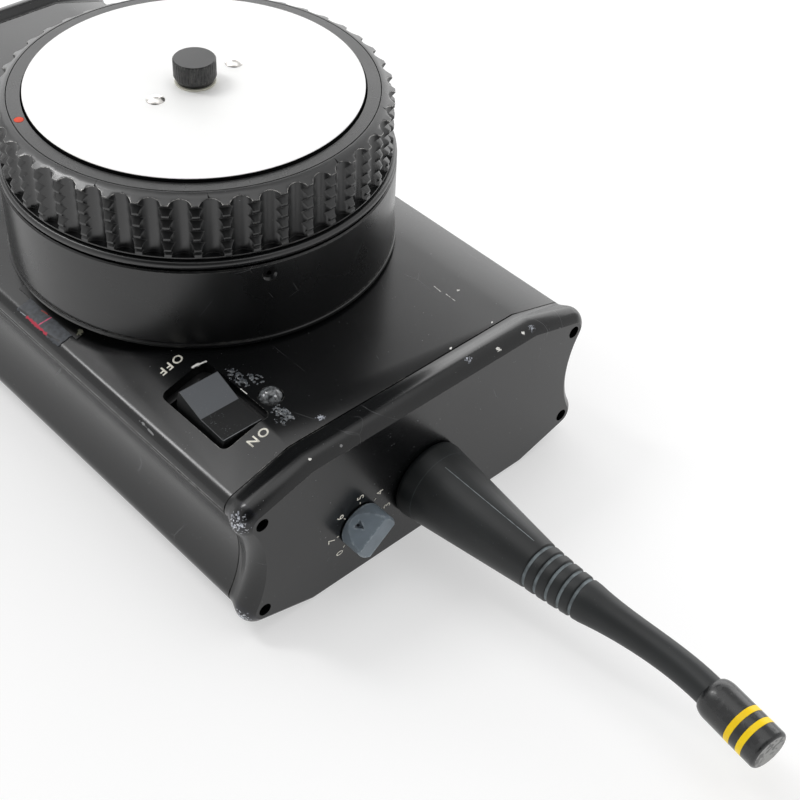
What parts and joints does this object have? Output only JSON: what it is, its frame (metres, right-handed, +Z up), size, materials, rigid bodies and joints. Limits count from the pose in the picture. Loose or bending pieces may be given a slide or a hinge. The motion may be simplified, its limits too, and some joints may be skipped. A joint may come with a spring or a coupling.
{
  "type": "wireless lens control hand unit",
  "caption": "Black hand-held lens control box with concave grip sides, a fluted knob carrying a white marking disc, a rocker, a pilot lamp, a channel selector and a stub antenna.",
  "frame": {"origin": "on the knob's axis, at the flat back the unit lies on", "axes": "+Z up along the knob's axis, -Y towards the antenna, +X to the right seen from the antenna end"},
  "size_m": [0.0942, 0.2755, 0.08],
  "materials": {
    "anodised_body": "satin black anodised",
    "black_oxide": "black oxide",
    "gasket_rubber": "matte",
    "antenna_rubber": "matte",
    "antenna_plastic": "satin",
    "band_paint": "gloss",
    "white_acetal": "writable matte",
    "washer_nylon": "satin",
    "carrier_plastic": "satin",
    "nut_anodised": "knurled black anodised",
    "polished_steel": "polished",
    "steel": "turned",
    "post_aluminium": "turned",
    "brass": "machined",
    "nickel": "nickel plated",
    "index_paint": "enamel",
    "rocker_plastic": "satin grey",
    "switch_plastic": "satin black",
    "lamp_lens": "clear diffused",
    "selector_plastic": "slate grey",
    "board_laminate": "solder mask",
    "shield_tin": "tinned",
    "tape": "cloth tape"
  },
  "bodies": {
    "housing": {"lower_shell": "anodised_body", "top_cover": "anodised_body", "front_cap": "anodised_body", "rear_cap": "anodised_body", "front_gasket": "gasket_rubber", "rear_gasket": "gasket_rubber", "front_cap_screws": "black_oxide", "rear_cap_screws": "black_oxide", "knob_drum": "anodised_body", "drum_screws": "steel", "drum_set_screw": "black_oxide", "wheel_bushes": "brass", "thrust_washer": "brass", "stop_block": "steel", "disc_post": "post_aluminium", "post_screws": "steel", "disc_carrier": "carrier_plastic", "marking_disc": "white_acetal", "locating_pins": "polished_steel", "nut_washer": "washer_nylon", "encoder_body": "switch_plastic", "encoder_nut": "steel", "switch_housing": "switch_plastic", "switch_terminals": "brass", "rocker_pivot": "steel", "status_lamp": "lamp_lens", "lamp_holder": "switch_plastic", "channel_switch": "switch_plastic", "channel_switch_nut": "steel", "antenna_jack": "nickel", "antenna_jack_nut": "steel", "power_inlet": "nickel", "inlet_insulator": "switch_plastic", "inlet_contacts": "brass", "inlet_nut": "steel", "main_board": "board_laminate", "board_standoffs": "post_aluminium", "board_screws": "steel", "radio_module": "shield_tin", "marking_tape": "tape"},
    "wheel": {"focus_wheel": "anodised_body", "index_ring": "anodised_body", "index_dot": "index_paint", "drive_gear": "brass", "stop_pin": "steel"},
    "encoder_rotor": {"encoder_shaft": "steel", "drive_pinion": "brass"},
    "nut": {"thumb_nut": "nut_anodised"},
    "rocker": {"rocker_button": "rocker_plastic"},
    "selector": {"channel_shaft": "steel", "channel_knob": "selector_plastic"},
    "antenna": {"antenna_plug": "nickel", "antenna_sleeve": "antenna_rubber", "antenna_core": "brass", "antenna_tip": "antenna_plastic", "tip_bands": "band_paint"}
  },
  "joints": [
    {"name": "focus_turn", "type": "hinge", "parent": "housing", "child": "wheel", "pos_m": [0, 0, 0], "axis": [0, 0, 1], "range_deg": [-150, 150]},
    {"name": "encoder_turn", "type": "hinge", "parent": "housing", "child": "encoder_rotor", "pos_m": [0, 0.029, 0.04], "axis": [0, 0, 1], "range_deg": [-480, 480]},
    {"name": "nut_turn", "type": "hinge", "parent": "housing", "child": "nut", "pos_m": [0, 0, 0.076], "axis": [0, 0, 1], "range_deg": [0, 720]},
    {"name": "run_rocker", "type": "hinge", "parent": "housing", "child": "rocker", "pos_m": [-0.0332, -0.047, 0.0307], "axis": [-1, 0, 0], "range_deg": [0, 25]},
    {"name": "channel_turn", "type": "hinge", "parent": "housing", "child": "selector", "pos_m": [-0.0182, -0.075, 0.0145], "axis": [0, -1, 0], "range_deg": [-270, 45]},
    {"name": "antenna_unlock", "type": "hinge", "parent": "housing", "child": "antenna", "pos_m": [0, -0.08, 0.0157], "axis": [0, -1, 0], "range_deg": [0, 90]}
  ],
  "couplings": [
    {"joint": "encoder_turn", "follows": "focus_turn", "ratio": -3.1429}
  ]
}
